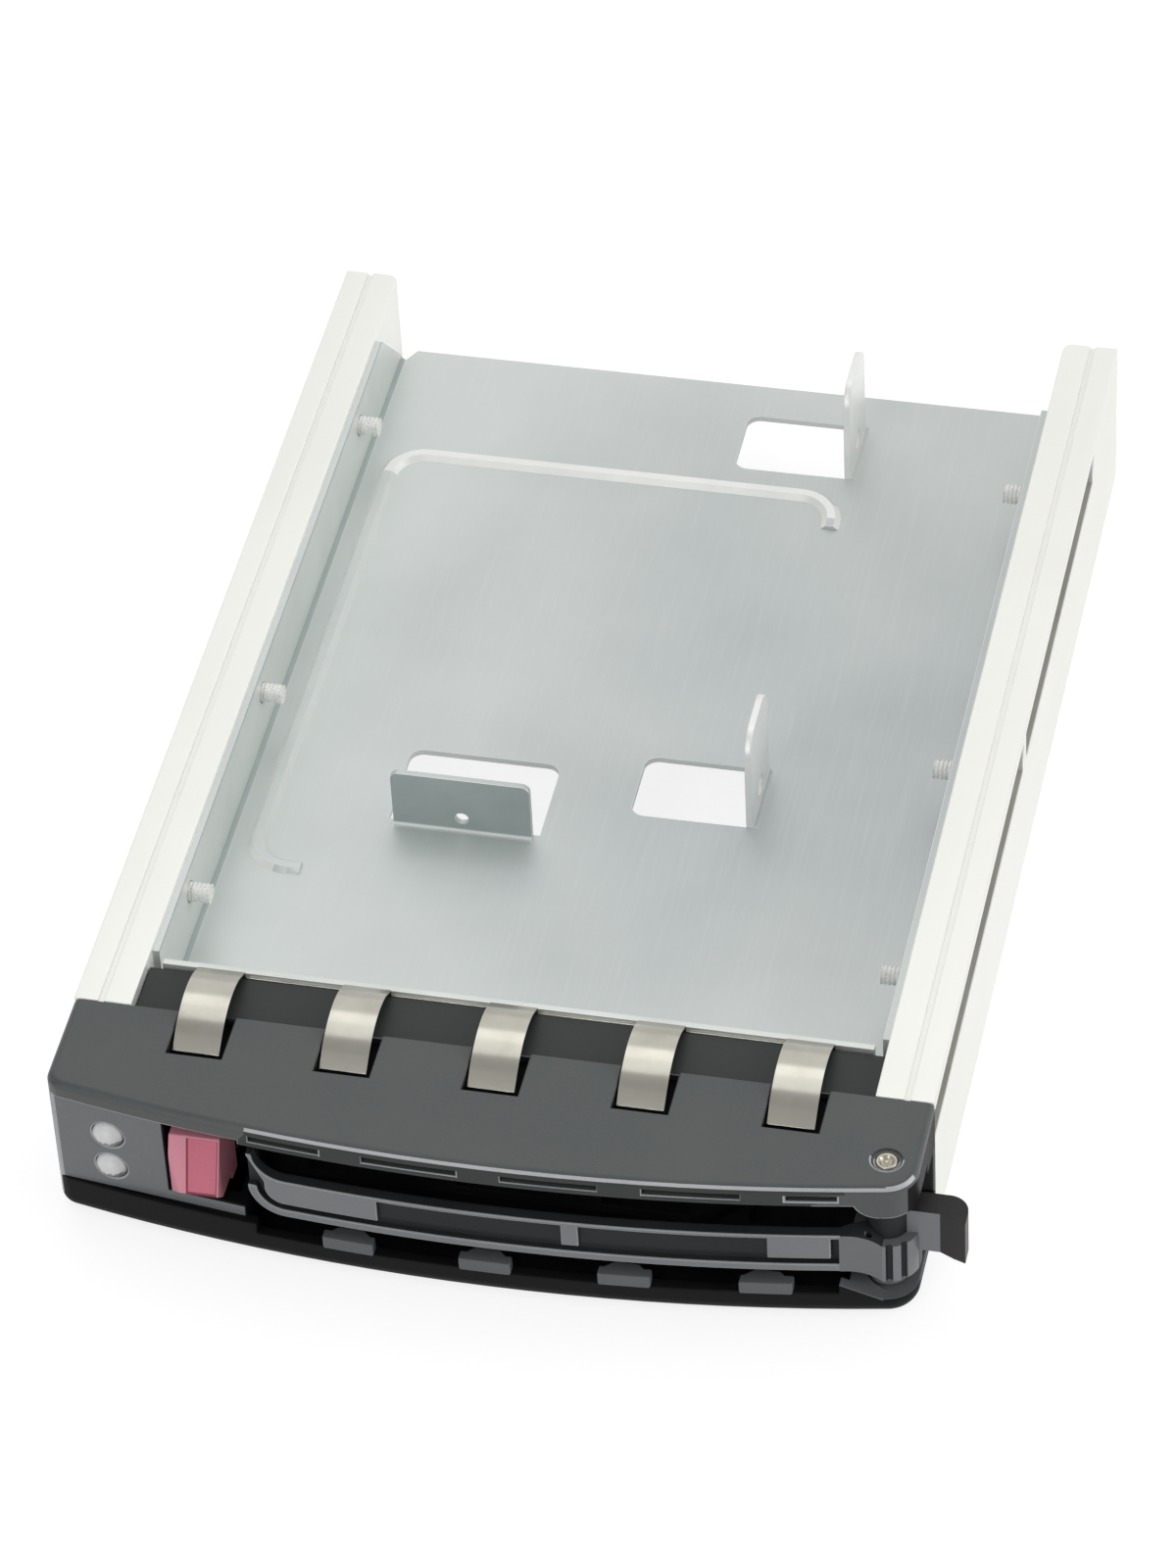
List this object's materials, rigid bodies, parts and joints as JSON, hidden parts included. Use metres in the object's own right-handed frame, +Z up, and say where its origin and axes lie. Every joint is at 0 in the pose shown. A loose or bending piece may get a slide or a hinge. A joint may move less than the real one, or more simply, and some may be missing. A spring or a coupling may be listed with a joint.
{
  "type": "hot-swap drive tray",
  "caption": "Hot-swap drive tray: bowed front bezel with pull lever and release button, side rails, and a folded pan with tabs that carries a smaller drive.",
  "frame": {"origin": "on the mid-plane, at the rails' underside, where the rails' front ends meet the bezel", "axes": "+Y from the bezel to the tray's rear, +Z up from the underside, +X to the lever's pivot"},
  "size_m": [0.1254, 0.1808, 0.0296],
  "materials": {
    "bezel_plastic": "moulded",
    "lever_plastic": "moulded",
    "button_plastic": "moulded",
    "pin_steel": "turned",
    "spring_steel": "rolled",
    "light_pipe_plastic": "clear",
    "finger_steel": "bright",
    "pan_steel": "zinc plated",
    "rail_aluminium": "satin",
    "screw_steel": "plated"
  },
  "bodies": {
    "tray": {"bezel": "bezel_plastic", "pivot_pin": "pin_steel", "lever_spring": "spring_steel", "button_spring": "spring_steel", "light_pipe_upper": "light_pipe_plastic", "light_pipe_lower": "light_pipe_plastic", "shield_strip": "finger_steel", "adapter_pan": "pan_steel", "left_rail": "rail_aluminium", "right_rail": "rail_aluminium", "left_pan_screws": "screw_steel", "right_pan_screws": "screw_steel", "left_bezel_screw": "screw_steel", "right_bezel_screw": "screw_steel"},
    "lever": {"lever": "lever_plastic"},
    "button": {"release_button": "button_plastic"}
  },
  "joints": [
    {"name": "lever_swing", "type": "hinge", "parent": "tray", "child": "lever", "pos_m": [0.055, -0.0112, 0.0118], "axis": [0, 0, 1], "range_deg": [0, 60], "deforming": ["lever_spring"]},
    {"name": "button_press", "type": "slide", "parent": "tray", "child": "button", "axis": [0, 1, 0], "range_m": [0, 0.002], "stiffness_N_per_m": 400, "deforming": ["button_spring"]}
  ]
}
